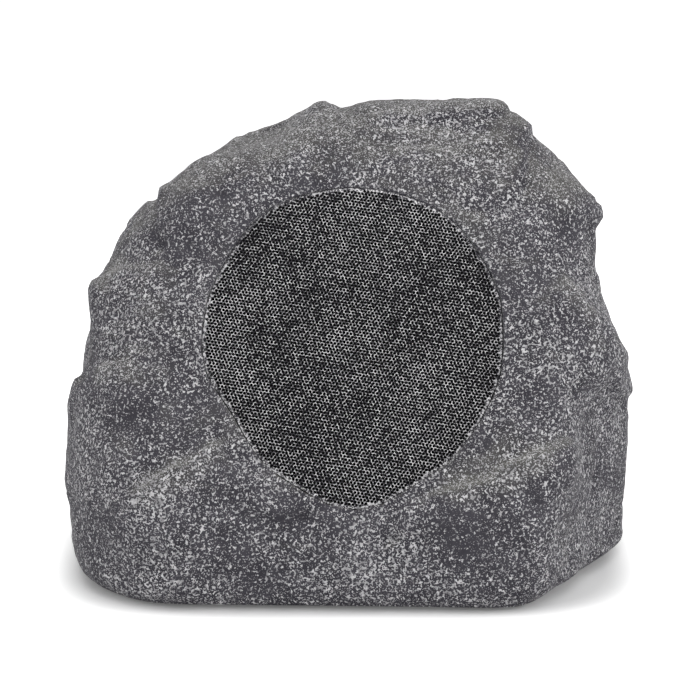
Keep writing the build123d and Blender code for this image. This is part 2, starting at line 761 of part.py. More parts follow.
SEAL_TOP = GLAND_FLANGE + GLAND_CAP - GLAND_CAP_WALL


def gland_cap():
    cap = flats(GLAND_ACROSS - 2, GLAND_FLANGE, GLAND_FLANGE + GLAND_CAP)
    cap -= rod(GLAND_THREAD, GLAND_FLANGE, SEAL_TOP)
    return GLAND * (cap - rod(GLAND_BORE, SEAL_TOP, GLAND_FLANGE + GLAND_CAP))


def gland_seal():
    hole = Pos(0, 0, GLAND_FLANGE) * Cylinder(SEAL_BORE, SEAL_TOP - GLAND_FLANGE, align=BASE)
    return GLAND * (rod(GLAND_THREAD, GLAND_FLANGE, SEAL_TOP) - hole)


def woofer_cable():
    """Flat cable from the board's front edge up to the terminal strip."""
    start = Vector(BOARD_PLACE[0], BOARD_PLACE[1] - BOARD_WIDTH / 2 + CABLE_WIDTH, BOARD_TOP)
    back = SEAT.from_local_coords(STRIP_BACK)
    lug = Vector(back.X, back.Y, back.Z - LUG_GAP)
    points = [start, start + Vector(0, 0, CABLE_RISE), lug - Vector(0, 0, CABLE_RISE), lug]
    return strip_along(points, CABLE_BEND, CABLE_WIDTH, CABLE_THICK, (0, 1, 0))


def tweeter_cable():
    """Flat cable from the board to the tail of the tweeter's post."""
    start = Vector(BOARD_PLACE[0], BOARD_PLACE[1] + BOARD_WIDTH / 4, BOARD_TOP)
    tail = SEAT.from_local_coords((0, 0, YOKE_BOTTOM - POST_TAIL))
    out = SEAT.from_local_coords((0, 0, YOKE_BOTTOM - POST_TAIL - 2 * CABLE_RISE))
    points = [start, start + Vector(0, 0, 2 * CABLE_RISE), out, tail]
    return strip_along(points, CABLE_BEND, CABLE_WIDTH, CABLE_THICK, (0, 1, 0))


PIECES = [
    rock_shell, base_plate, base_gasket, base_screws, rubber_feet, grille, grille_scrim,
    woofer_basket, driver_screws, woofer_surround, woofer_cone, coil_former, voice_coil, spider,
    front_plate, ferrite_magnet, pole_yoke, tweeter_post, post_nut, tweeter_housing, tweeter_dome,
    terminal_strip, tinsel_leads, crossover_board, crossover_inductor, crossover_capacitor,
    terminal_block, woofer_cable, tweeter_cable, gland_body, gland_nut, gland_cap, gland_seal,
]

for piece in PIECES:
    made = piece()
    group = made if isinstance(made, list) else [made]
    solids = [solid for shape in group for solid in shape.solids()]
    export_step(Compound(children=solids), f"parts/{piece.__name__}.step")
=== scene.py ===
import json
import math

import bmesh
import bpy
import numpy as np
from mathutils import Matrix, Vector
from mathutils.bvhtree import BVHTree
from mathutils.geometry import delaunay_2d_cdt


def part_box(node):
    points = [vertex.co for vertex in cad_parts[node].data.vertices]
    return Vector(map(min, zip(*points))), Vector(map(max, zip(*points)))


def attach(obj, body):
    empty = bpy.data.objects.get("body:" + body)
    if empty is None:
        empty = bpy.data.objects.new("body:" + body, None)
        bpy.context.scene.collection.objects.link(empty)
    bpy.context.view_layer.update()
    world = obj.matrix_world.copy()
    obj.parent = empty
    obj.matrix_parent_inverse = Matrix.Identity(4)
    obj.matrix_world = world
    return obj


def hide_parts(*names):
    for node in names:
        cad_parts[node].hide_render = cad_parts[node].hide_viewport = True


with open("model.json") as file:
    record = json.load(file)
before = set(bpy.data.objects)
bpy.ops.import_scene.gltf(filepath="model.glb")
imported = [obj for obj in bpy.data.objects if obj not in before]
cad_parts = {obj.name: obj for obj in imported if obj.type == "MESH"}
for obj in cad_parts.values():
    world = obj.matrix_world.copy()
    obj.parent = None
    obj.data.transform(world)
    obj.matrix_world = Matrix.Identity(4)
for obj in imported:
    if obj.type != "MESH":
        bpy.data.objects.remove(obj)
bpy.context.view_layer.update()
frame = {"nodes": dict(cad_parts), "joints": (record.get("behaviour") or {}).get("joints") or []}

MM = 0.001

# Camera: straight in front of the grille and a little above it
CAMERA_ELEVATION = math.radians(12)
CAMERA_DISTANCE = 1.6
CAMERA_TARGET = Vector((0.0016, -0.008, 0.134))
LENS_MM = 125
SENSOR_MM = 36
PHOTO_SIZE = 700

# Sampling of the rock's skin
SAMPLES_AROUND = 480
ROWS_BELOW = 56
ROWS_ABOVE = 98
FACET_BLEND = 3.8 * MM
BLEND_TAPS = 8
ROW_SPACING = 2.6 * MM
POLE_REACH = 0.02
GRAZING = 0.25
FAR = 0.6
SKIRT_DROP = 6 * MM
SKIN_TOLERANCE = 2.5 * MM
TRIM_REACH = 14 * MM
EDGE_CLEAR = 2.5 * MM
FILL_PASSES = 2500
ROCK_SHARP_DEGREES = 42

# Relief of the stone, in millimetres: height, width and seed of its bumps, chips and cracks
BUMPS = [(2.0, 50, 3), (1.5, 24, 5)]
CHIP_HEIGHT, CHIP_WIDTH, CHIP_SEED = 0.5, 9, 7
CRACK_DEPTH, CRACK_WIDTH, CRACK_SEED = 1.3, 34, 11
CRACK_STRETCH = (1, 1, 1.6)
CRACK_FROM = 0.88
WANDER_WIDTH, WANDER_SEED = 14, 17
STROKE_WANDER = 0.5
GROOVE_WANDER = 0.4
END_FADE = 1.2
RIM_CALM = 14 * MM
RIM_LEAST_RISE = 0.4
FOOT_CALM = 10 * MM
PATCH_SEARCH_PIXELS = 5

# Grille sheet
HOLE_PITCH = 2.2 * MM
HOLE_FLATS = 1.8 * MM
ROW_TILT = math.radians(-9.5)
SHEET_THICK = 0.9 * MM
SKIRT_THICK = 0.5 * MM
EDGE_ROUND = 0.4 * MM
HOLE_MARGIN = 0.7 * MM
OUTLINE_STEPS = 4
SPOKE_APART_DEGREES = 4
PATTERN_REACH = 60
SHEET_SHARP_DEGREES = 35
CLOTH_CELL = 5 * MM

# Frame of the face that the grille and the driver sit in
FACE_OUT = Vector(frame["joints"][0]["axis"]).normalized()
FACE_RIGHT = Vector((1, 0, 0))
FACE_UP = FACE_OUT.cross(FACE_RIGHT)
FACE_AXES = np.array([FACE_RIGHT, FACE_UP, FACE_OUT])


def to_face(points):
    """World points as right, up and out distances on the grille's face."""
    return np.asarray(points) @ FACE_AXES.T


def from_face(points):
    return np.asarray(points) @ FACE_AXES


def vertices_of(mesh):
    flat = np.empty(len(mesh.vertices) * 3, np.float32)
    mesh.vertices.foreach_get("co", flat)
    return flat.reshape(-1, 3).astype(float)


def new_piece(name, points, faces):
    mesh = bpy.data.meshes.new(name)
    mesh.from_pydata([tuple(p) for p in points], [], faces)
    mesh.update()
    piece = bpy.data.objects.new(name, mesh)
    bpy.context.scene.collection.objects.link(piece)
    return piece


def shade_smooth(mesh, sharp_degrees):
    mesh.polygons.foreach_set("use_smooth", [True] * len(mesh.polygons))
    mesh.set_sharp_from_angle(angle=math.radians(sharp_degrees))


def smoothstep(low, high, value):
    share = np.clip((value - low) / (high - low), 0, 1)
    return share * share * (3 - 2 * share)


def inside_polygon(points, corners):
    """True for each flat point that lies inside the closed polygon."""
    inside = np.zeros(len(points), bool)
    for (x0, y0), (x1, y1) in zip(corners, np.roll(corners, -1, axis=0)):
        crosses = (y0 > points[:, 1]) != (y1 > points[:, 1])
        if y1 != y0:
            at = x0 + (points[:, 1] - y0) * (x1 - x0) / (y1 - y0)
            inside ^= crosses & (points[:, 0] < at)
    return inside


def distance_to_polygon(points, corners):
    nearest = np.full(len(points), np.inf)
    for start, end in zip(corners, np.roll(corners, -1, axis=0)):
        run = end - start
        along = np.clip(((points - start) @ run) / (run @ run), 0, 1)
        gap = np.linalg.norm(points - start - along[:, None] * run, axis=1)
        nearest = np.minimum(nearest, gap)
    return nearest


# Noise for the shape of the stone

def value_noise(points, size, seed):
    """Smooth noise between -1 and 1 with bumps of about the given size."""
    place = points / size + 31.7 * seed
    corner = np.floor(place).astype(np.int64)
    local = place - corner
    fade = local * local * local * (local * (local * 6 - 15) + 10)
    total = np.zeros(len(points))
    for step in np.ndindex(2, 2, 2):
        node = corner + step
        mixed = node[:, 0] * 73856093 ^ node[:, 1] * 19349663 ^ node[:, 2] * 83492791
        mixed = (mixed ^ (mixed >> 13)) * 1274126177
        mixed = (mixed ^ (mixed >> 16)) & 0xFFFF
        weight = np.prod(np.where(step, fade, 1 - fade), axis=1)
        total += weight * (mixed / 32767.5 - 1)
    return total


def layered_noise(points, size, seed, layers):
    total = np.zeros(len(points))
    for layer in range(layers):
        total += value_noise(points, size / 2 ** layer, seed + layer) / 2 ** layer
    return total


# Outline of the grille, from the solid that it replaces

def grille_outline():
    """Corners of the skirt's outer edge on the face, going round from the right."""
    edge = to_face(vertices_of(frame["nodes"]["grille"].data))
    foot = np.unique(edge[edge[:, 2] < edge[:, 2].min() + 0.1 * MM, :2], axis=0)
    centre = (foot.min(0) + foot.max(0)) / 2
    right, up = (foot - centre).T
    reach = np.hypot(right, up)
    angle = np.degrees(np.arctan2(up, right)) % 360
    apart = np.abs((angle[:, None] - angle + 180) % 360 - 180)
    outer = reach >= np.where(apart < SPOKE_APART_DEGREES, reach, 0).max(axis=1)
    return foot[outer][np.argsort(angle[outer])], centre


def rounded(corners, steps):
    """Closed smooth curve through the corners."""
    before = np.roll(corners, 1, axis=0)
    after = np.roll(corners, -1, axis=0)
    beyond = np.roll(corners, -2, axis=0)
    curve = []
    for step in range(steps):
        t = step / steps
        curve.append(0.5 * (
            2 * corners + (after - before) * t
            + (2 * before - 5 * corners + 4 * after - beyond) * t ** 2
            + (3 * corners - before - 3 * after + beyond) * t ** 3
        ))
    return np.stack(curve, axis=1).reshape(-1, 2)


def inset(outline, distance):
    run = np.roll(outline, -1, axis=0) - np.roll(outline, 1, axis=0)
    run /= np.linalg.norm(run, axis=1)[:, None]
    return outline + distance * np.stack([-run[:, 1], run[:, 0]], axis=1)


OUTLINE_CORNERS, GRILLE_CENTRE = grille_outline()
OUTLINE = rounded(OUTLINE_CORNERS, OUTLINE_STEPS)
GRILLE_OUT = to_face(vertices_of(frame["nodes"]["grille"].data))[:, 2]
GRILLE_FRONT = GRILLE_OUT.max()
GRILLE_BACK = GRILLE_OUT.min()


# Rock

ROCK_LOW, ROCK_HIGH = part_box("rock_shell")
GLAND_LOW, GLAND_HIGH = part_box("gland_cap")
GLAND_AT = (GLAND_LOW + GLAND_HIGH) / 2
GLAND_CLEAR = 27 * MM
HEART = Vector((0, 0, 0.118))
# Features of the front, placed in the photograph's pixels from its top left corner.
# Shelves push the stone out below their line, and undercuts push it out above theirs.
SHELVES = [
    # name, start, end, height in mm, softness and fade in pixels
    ("lower right shelf", (440, 494), (560, 444), 5.0, 9, 40),
    ("lower left shelf", (128, 494), (212, 448), 4.0, 9, 40),
    ("left low shelf", (66, 386), (118, 366), 3.6, 8, 36),
    ("left shelf", (86, 286), (150, 262), 3.6, 8, 36),
    ("top right shelf", (400, 150), (505, 138), 3.2, 12, 40),
    ("shoulder shelf", (528, 160), (590, 205), 3.0, 10, 30),
    ("cheek shelf", (572, 285), (620, 350), 3.4, 8, 30),
    ("foot shelf", (250, 552), (345, 546), 2.4, 10, 35),
    ("foot right shelf", (540, 560), (610, 535), 2.6, 12, 30),
    ("left crease step", (158, 252), (161, 196), 3.2, 5, 30),
    ("right crease step", (527, 132), (519, 205), 3.4, 5, 30),
]
UNDERCUTS = [
    ("plateau lip", (372, 122), (500, 116), 2.8, 6, 22),
    ("shoulder underside", (552, 214), (600, 226), 4.0, 9, 30),
    ("cheek underside", (560, 372), (622, 392), 3.2, 9, 35),
    ("left underside", (96, 300), (150, 330), 2.6, 12, 35),
    ("left low underside", (95, 500), (130, 470), 3.2, 12, 35),
    ("front fold", (262, 516), (316, 510), 4.2, 8, 28),
    ("lower right hollow", (410, 530), (500, 524), 3.0, 12, 40),
]
GROOVES = [
    # name, start, end, width in pixels, depth in mm; a negative depth is a swelling
    ("left crease", (161, 198), (160, 246), 5, 3.6),
    ("left crease foot", (162, 244), (150, 268), 5, 2.2),
    ("shoulder corner", (529, 136), (521, 204), 5, 2.6),
    ("right edge", (612, 372), (596, 452), 5, 1.8),
    ("right crack", (594, 472), (592, 490), 3, 3.0),
    ("upper right scratch", (508, 290), (520, 330), 3, 0.8),
    ("front pit", (385, 543), (397, 537), 4, 4.0),
    ("left pit", (203, 464), (206, 465), 5, 1.6),
    ("low fold", (304, 514), (318, 511), 3, 1.6),
    ("peak notch", (342, 104), (352, 112), 7, 3.0),
    ("peak", (316, 103), (320, 104), 9, -2.5),
    ("left roof", (136, 210), (222, 148), 36, -6.0),
    ("shoulder", (552, 158), (560, 165), 16, -3.0),
]

# Patches of painted light and shade: on lit ledges the spatter lies thicker and the lit tone is laid on as
# a painted highlight, and where the amount is negative, in creases, undercuts and hollows, there is less of
# both, as painted shade
LIGHT_AND_SHADE_PATCHES = [
    # name, pixel, radius in mm, amount
    ("lower right band", (462, 482), 18, 1.0),
    ("lower right band", (500, 468), 20, 1.0),
    ("lower right band", (540, 454), 16, 1.0),
    ("lower left band", (150, 483), 18, 0.8),
    ("lower left band", (180, 466), 18, 0.8),
    ("lower left band", (203, 452), 14, 0.8),
    ("left low shelf", (97, 372), 13, 0.9),
    ("left shelf", (112, 266), 15, 0.8),
    ("top right slope", (445, 140), 22, 0.6),
    ("top right slope", (490, 150), 22, 0.6),
    ("shoulder", (545, 178), 16, 0.6),
    ("shoulder", (568, 200), 14, 0.6),
    ("cheek", (594, 312), 14, 0.6),
    ("cheek", (602, 340), 12, 0.6),
    ("left crease", (154, 235), 8, -0.9),
    ("shoulder underside", (575, 232), 12, -0.9),
    ("cheek underside", (588, 388), 13, -0.9),
    ("right of the grille", (537, 400), 24, -0.8),
    ("left of the grille", (130, 410), 22, -0.9),
    ("left foot", (110, 522), 18, -0.8),
    ("front fold", (290, 517), 18, -1.0),
    ("lower right hollow", (455, 542), 28, -0.7),
    ("front foot", (250, 582), 20, -0.6),
    ("plateau lip", (440, 118), 9, -0.8),
    ("roof corner", (514, 126), 9, -0.8),
]


def welded(node):
    """The node's mesh with its split edges joined."""
    shape = bmesh.new()
    shape.from_mesh(frame["nodes"][node].data)
    bmesh.ops.remove_doubles(shape, verts=shape.verts, dist=1e-6)
    return shape


class SkinGrid:
    """Rows of points on the rock: level rows up to its heart and fanned rows above it."""

    def __init__(self):
        self.angle = np.arange(SAMPLES_AROUND) * 2 * math.pi / SAMPLES_AROUND
        share = np.arange(ROWS_BELOW) / ROWS_BELOW
        self.heights = ROCK_LOW.z + (HEART.z - ROCK_LOW.z) * share
        self.fan = (np.arange(ROWS_ABOVE) / ROWS_ABOVE) * math.pi / 2
        level = np.concatenate([np.zeros(ROWS_BELOW), self.fan])
        height = np.concatenate([self.heights, np.full(ROWS_ABOVE, HEART.z)])
        self.reach = np.cos(level)
        shape = (len(level), SAMPLES_AROUND)
        self.out = np.stack([
            np.cos(self.angle)[None, :] * self.reach[:, None],
            np.sin(self.angle)[None, :] * self.reach[:, None],
            np.broadcast_to(np.sin(level)[:, None], shape),
        ], axis=2)
        self.base = np.zeros(shape + (3,))
        self.base[:, :, 2] = height[:, None]

    def cast(self, tree):
        """Distance from the base points to the outside, and where the solid was missed."""
        rows, columns = self.out.shape[:2]
        radius = np.full((rows, columns), np.nan)
        for row in range(rows):
            lift = 0.05 * MM if row == 0 else 0
            for column in range(columns):
                out = Vector(self.out[row, column])
                start = Vector(self.base[row, column]) + out * FAR
                start.z += lift
                hit, _, _, distance = tree.ray_cast(start, -out)
                if hit is not None:
                    radius[row, column] = FAR - distance
        return radius

    def points(self, radius):
        return self.base + self.out * radius[:, :, None]

    def skin_at(self, point, radius):
        """Outward direction at a point, how far out it lies and how far out the skin lies there."""
        angle = math.atan2(point.y, point.x) % (2 * math.pi)
        column = int(round(angle / (2 * math.pi) * SAMPLES_AROUND)) % SAMPLES_AROUND
        if point.z < HEART.z:
            offset = Vector((point.x, point.y, 0))
            row = (point.z - ROCK_LOW.z) / (HEART.z - ROCK_LOW.z) * ROWS_BELOW
        else:
            offset = point - HEART
            level = math.atan2(offset.z, math.hypot(offset.x, offset.y))
            row = ROWS_BELOW + level / (math.pi / 2) * ROWS_ABOVE
        row = min(int(round(row)), radius.shape[0] - 1)
        return offset.normalized(), offset.length, radius[row, column]


def over_pole(rows):
    """Rows continued over the top of the rock and repeated at its foot."""
    beyond = np.roll(rows[::-1][:ROWS_ABOVE // 4], SAMPLES_AROUND // 2, axis=1)
    below = np.repeat(rows[:1], ROWS_ABOVE // 4, axis=0)
    return np.concatenate([below, rows, beyond])


def blend_facets(grid, radius):
    """Softens the edges between the solid's flat facets."""
    mean = radius.mean(axis=1) * np.maximum(grid.reach, POLE_REACH)
    wave = np.arange(SAMPLES_AROUND // 2 + 1)
    fall = np.exp(-0.5 * (wave[None, :] * FACET_BLEND / mean[:, None]) ** 2)
    radius = np.fft.irfft(np.fft.rfft(radius, axis=1) * fall, SAMPLES_AROUND, axis=1)
    tall = over_pole(radius)
    taps = np.arange(-BLEND_TAPS, BLEND_TAPS + 1)
    weights = np.exp(-0.5 * (taps * ROW_SPACING / FACET_BLEND) ** 2)
    weights /= weights.sum()
    pad = ROWS_ABOVE // 4
    return sum(w * np.roll(tall, -t, axis=0) for w, t in zip(weights, taps))[pad:-pad]


def reach_to_plane(grid, normal, depth):
    """Distance from each base point to a plane, along its own direction."""
    toward = grid.out @ np.array(normal)
    gap = depth - grid.base @ np.array(normal)
    return np.where(toward > GRAZING, gap / np.maximum(toward, GRAZING), np.nan)


def carried_over(radius, plane, hole):
    """The skin continued across a hole, as a smooth lift above the given plane."""
    lift = np.where(hole, 0.0, radius - plane)
    for _ in range(FILL_PASSES):
        near = np.roll(lift, 1, axis=1) + np.roll(lift, -1, axis=1)
        upper = np.concatenate([lift[1:], lift[-1:]])
        lower = np.concatenate([lift[:1], lift[:-1]])
        lift = np.where(hole, (near + upper + lower) / 4, lift)
    return np.where(hole, plane + lift, radius)


def fill_openings(grid, radius):
    """Carries the skin across the grille's pocket and the gland's recess."""
    plane = reach_to_plane(grid, FACE_OUT, GRILLE_FRONT)
    spots = to_face(grid.points(np.nan_to_num(plane)).reshape(-1, 3))[:, :2]
    pocket = inside_polygon(spots, inset(OUTLINE, -EDGE_CLEAR)).reshape(plane.shape)
    radius = carried_over(radius, plane, pocket & ~np.isnan(plane))
    plane = reach_to_plane(grid, (0, 1, 0), GLAND_HIGH.y)
    spots = grid.points(np.nan_to_num(plane))
    recess = np.hypot(spots[:, :, 0] - GLAND_AT.x, spots[:, :, 2] - GLAND_AT.z) < GLAND_CLEAR
    return carried_over(radius, plane, recess & ~np.isnan(plane))


def grid_normals(points):
    around = np.roll(points, -1, axis=1) - np.roll(points, 1, axis=1)
    up = np.gradient(points, axis=0)
    normal = np.cross(around, up)
    return normal / np.maximum(np.linalg.norm(normal, axis=2), 1e-12)[:, :, None]


def photo_pixels(points):
    """Where points show in the photograph's frame, in pixels from its top left corner."""
    back = np.array([0, -math.cos(CAMERA_ELEVATION), math.sin(CAMERA_ELEVATION)])
    up = np.array([0, math.sin(CAMERA_ELEVATION), math.cos(CAMERA_ELEVATION)])
    offset = points - np.array(CAMERA_TARGET)
    scale = LENS_MM / SENSOR_MM * PHOTO_SIZE / (CAMERA_DISTANCE - offset @ back)
    return PHOTO_SIZE / 2 + np.stack([offset[:, 0] * scale, -(offset @ up) * scale], axis=1)


def stroke_distance(pixels, start, end):
    """Distance from a stroke, how far below it and how far past its ends."""
    start = np.array(start, float)
    run = np.array(end, float) - start
    length = np.linalg.norm(run)
    share = ((pixels - start) @ run) / length ** 2
    below = (run[0] * (pixels[:, 1] - start[1]) - run[1] * (pixels[:, 0] - start[0])) / length
    past = np.maximum(np.maximum(-share, share - 1), 0) * length
    return np.hypot(below, past), below, past


def front_features(pixels, wander):
    """Relief in millimetres from the shelves, undercuts and grooves of the front."""
    relief = np.zeros(len(pixels))
    for side, strokes in ((1, SHELVES), (-1, UNDERCUTS)):
        for _, start, end, height, soft, fade in strokes:
            _, below, past = stroke_distance(pixels, start, end)
            below = side * (below + STROKE_WANDER * soft * wander)
            rise = smoothstep(-soft / 2, soft / 2, below)
            fall = np.exp(-(np.maximum(below, 0) / fade) ** 2 - (past / (END_FADE * soft)) ** 2)
            relief += height * rise * fall
    for _, start, end, width, depth in GROOVES:
        away, _, _ = stroke_distance(pixels, start, end)
        relief -= depth * np.exp(-((away + GROOVE_WANDER * width * wander) / width) ** 2)
    return relief


def stone_relief(points, normals):
    """Height of the stone's relief above the blended skin, in metres."""
    relief = np.zeros(len(points))
    for height, width, seed in BUMPS:
        relief += height * value_noise(points, width * MM, seed)
    relief += CHIP_HEIGHT * layered_noise(points, CHIP_WIDTH * MM, CHIP_SEED, 2)
    ridge = 1 - np.abs(value_noise(points * CRACK_STRETCH, CRACK_WIDTH * MM, CRACK_SEED))
    relief -= CRACK_DEPTH * smoothstep(CRACK_FROM, 1, ridge)
    front = smoothstep(-0.45, -0.05, -normals[:, 1] + 0.2 * normals[:, 2])
    wander = value_noise(points, WANDER_WIDTH * MM, WANDER_SEED)
    relief += front * front_features(photo_pixels(points), wander)
    face = to_face(points)
    rim = distance_to_polygon(face[:, :2], OUTLINE)
    inner = inside_polygon(face[:, :2], OUTLINE) & (points[:, 1] < 0)
    calm = np.where((points[:, 1] < 0) & ~inner, smoothstep(0, RIM_CALM, rim), 1)
    calm = np.where(inner, 0, calm)
    rising = RIM_LEAST_RISE + (1 - RIM_LEAST_RISE) * calm
    relief = np.where(relief < 0, relief * calm, relief * rising)
    foot = smoothstep(ROCK_LOW.z, ROCK_LOW.z + FOOT_CALM, points[:, 2])
    return relief * MM * foot


def dense_rock(grid, radius):
    """Closed fine mesh of the rock without its openings, which reach past its foot."""
    points = grid.points(radius)
    normals = grid_normals(points)
    relief = stone_relief(points.reshape(-1, 3), normals.reshape(-1, 3))
    points = points + normals * relief.reshape(radius.shape)[:, :, None]
    foot = points[:1] - np.array([0, 0, SKIRT_DROP])
    rows = np.concatenate([foot, points])
    count = SAMPLES_AROUND
    ring = np.arange(count)
    after = np.roll(ring, -1)
    faces = []
    for row in range(len(rows) - 1):
        low = row * count
        high = low + count
        quads = np.stack([low + ring, low + after, high + after, high + ring], axis=1)
        faces.extend(quads.tolist())
    top = len(rows) * count
    last = (len(rows) - 1) * count
    faces.extend([[last + a, last + b, top] for a, b in zip(ring, after)])
    faces.extend([[b, a, top + 1] for a, b in zip(ring, after)])
    peak = rows[-1].mean(axis=0)
    centre = foot[0].mean(axis=0)
    return new_piece("rock_body", np.vstack([rows.reshape(-1, 3), [peak, centre]]), faces)


def trimming_solid(grid, radius):
    """The CAD shell with its outer skin pushed out, so that it trims the openings and the hollow inside."""
    shape = welded("rock_shell")
    for vertex in shape.verts:
        place = vertex.co.copy()
        out, reach, skin = grid.skin_at(place, radius)
        face = to_face([place])
        at_pocket = distance_to_polygon(face[:, :2], OUTLINE)[0] < EDGE_CLEAR and place.y < 0
        from_gland = math.hypot(place.x - GLAND_AT.x, place.z - GLAND_AT.z)
        if at_pocket:
            if face[0, 2] > GRILLE_FRONT - EDGE_CLEAR:
                vertex.co = place + FACE_OUT * TRIM_REACH
        elif from_gland < GLAND_CLEAR and place.y > 0:
            if reach > skin - 2 * SKIN_TOLERANCE:
                vertex.co = place + Vector((0, TRIM_REACH, 0))
        elif reach > skin - SKIN_TOLERANCE:
            vertex.co = place + out * TRIM_REACH
    bmesh.ops.recalc_face_normals(shape, faces=shape.faces)
    mesh = bpy.data.meshes.new("trim")
    shape.to_mesh(mesh)
    shape.free()
    trim = bpy.data.objects.new("trim", mesh)
    bpy.context.scene.collection.objects.link(trim)
    return trim


def rock_body():
    shape = welded("rock_shell")
    tree = BVHTree.FromBMesh(shape)
    shape.free()
    grid = SkinGrid()
    radius = fill_openings(grid, grid.cast(tree))
    rock = dense_rock(grid, blend_facets(grid, radius))
    trim = trimming_solid(grid, radius)
    cut = rock.modifiers.new("trim", "BOOLEAN")
    cut.operation = "INTERSECT"
    cut.solver = "MANIFOLD"
    cut.object = trim
    mesh = bpy.data.meshes.new_from_object(rock.evaluated_get(bpy.context.evaluated_depsgraph_get()))
    rock.modifiers.clear()
    rock.data = mesh
    bpy.data.objects.remove(trim)
    shade_smooth(mesh, ROCK_SHARP_DEGREES)
    return rock


def light_and_shade_spots(rock):
    """Place on the front of the rock of each patch of painted light and shade, with its radius and amount.
    """
    points = vertices_of(rock.data)
    pixels = photo_pixels(points)
    toward = points[:, 2] * math.sin(CAMERA_ELEVATION) - points[:, 1] * math.cos(CAMERA_ELEVATION)
    spots = []
    for _, pixel, radius, amount in LIGHT_AND_SHADE_PATCHES:
        near = np.linalg.norm(pixels - pixel, axis=1) < PATCH_SEARCH_PIXELS
        spots.append((points[near][np.argmax(toward[near])], radius * MM, amount))
    return spots


# Grille

def hole_centres():
    """Places of the holes by their row and column, all clear of the sheet's edge."""
    steps = np.arange(-PATTERN_REACH, PATTERN_REACH + 1)
    column, row = np.meshgrid(steps, steps)
    column = column.ravel()
    row = row.ravel()
    along = np.array([math.cos(ROW_TILT), math.sin(ROW_TILT)]) * HOLE_PITCH
    slant = ROW_TILT + math.pi / 3
    across = np.array([math.cos(slant), math.sin(slant)]) * HOLE_PITCH
    centres = GRILLE_CENTRE + column[:, None] * along + row[:, None] * across
    room = HOLE_FLATS / math.sqrt(3) + HOLE_MARGIN
    keep = inside_polygon(centres, OUTLINE) & (distance_to_polygon(centres, OUTLINE) > room)
    places = zip(column[keep].tolist(), row[keep].tolist())
    return {place: number for number, place in enumerate(places)}, centres[keep]


def web_faces(index):
    """Faces of the web between the holes: a strip to each neighbour and a corner between three."""
    faces = []
    steps = [(1, 0), (0, 1), (-1, 1)]
    for (column, row), hole in index.items():
        near = [index.get((column + dc, row + dr)) for dc, dr in steps]
        for side, other in enumerate(near):
            if other is not None:
                faces.append([
                    6 * hole + (side - 1) % 6, 6 * other + (side + 3) % 6,
                    6 * other + (side + 2) % 6, 6 * hole + side,
                ])
        right, upper, left = near
        if right is not None and upper is not None:
            faces.append([6 * hole, 6 * right + 2, 6 * upper + 4])
        if upper is not None and left is not None:
            faces.append([6 * hole + 1, 6 * upper + 3, 6 * left + 5])
    return faces


def border_edges(faces, holes):
    """Edges of the web and the holes that nothing joins yet, around the rim of the pattern."""
    uses = {}
    for face in faces:
        for start, end in zip(face, face[1:] + face[:1]):
            key = (min(start, end), max(start, end))
            uses[key] = uses.get(key, 0) + 1
    hole_sides = set()
    for hole in range(holes):
        for side in range(6):
            start, end = 6 * hole + side, 6 * hole + (side + 1) % 6
            hole_sides.add((min(start, end), max(start, end)))
    loose = [edge for edge, count in uses.items() if count == 1 and edge not in hole_sides]
    loose += [edge for edge in hole_sides if edge not in uses]
    return sorted(loose)


def rim_faces(corners, edges, outline):
    """Triangles between the rim of the pattern and the sheet's outline."""
    used = sorted({corner for edge in edges for corner in edge})
    place = {corner: number for number, corner in enumerate(used)}
    flat = np.vstack([corners[used], outline])
    first = len(used)
    ring = [(first + i, first + (i + 1) % len(outline)) for i in range(len(outline))]
    inner = [(place[a], place[b]) for a, b in edges]
    made = delaunay_2d_cdt([Vector(p) for p in flat], inner + ring, [], 0, 1e-9)
    spots, triangles, origins = np.array(made[0]), np.array(made[2]), made[3]
    middle = spots[triangles].mean(axis=1)
    inside_pattern = np.zeros(len(middle), bool)
    for start, end in edges:
        (x0, y0), (x1, y1) = corners[start], corners[end]
        if y1 != y0:
            crosses = (y0 > middle[:, 1]) != (y1 > middle[:, 1])
            at = x0 + (middle[:, 1] - y0) * (x1 - x0) / (y1 - y0)
            inside_pattern ^= crosses & (middle[:, 0] < at)
    keep = inside_polygon(middle, outline) & ~inside_pattern
    origin = [group[0] for group in origins]
    faces = []
    for triangle in triangles[keep]:
        faces.append([])
        for corner in triangle:
            number = origin[corner]
            faces[-1].append(used[number] if number < first else ("rim", number - first))
    return faces


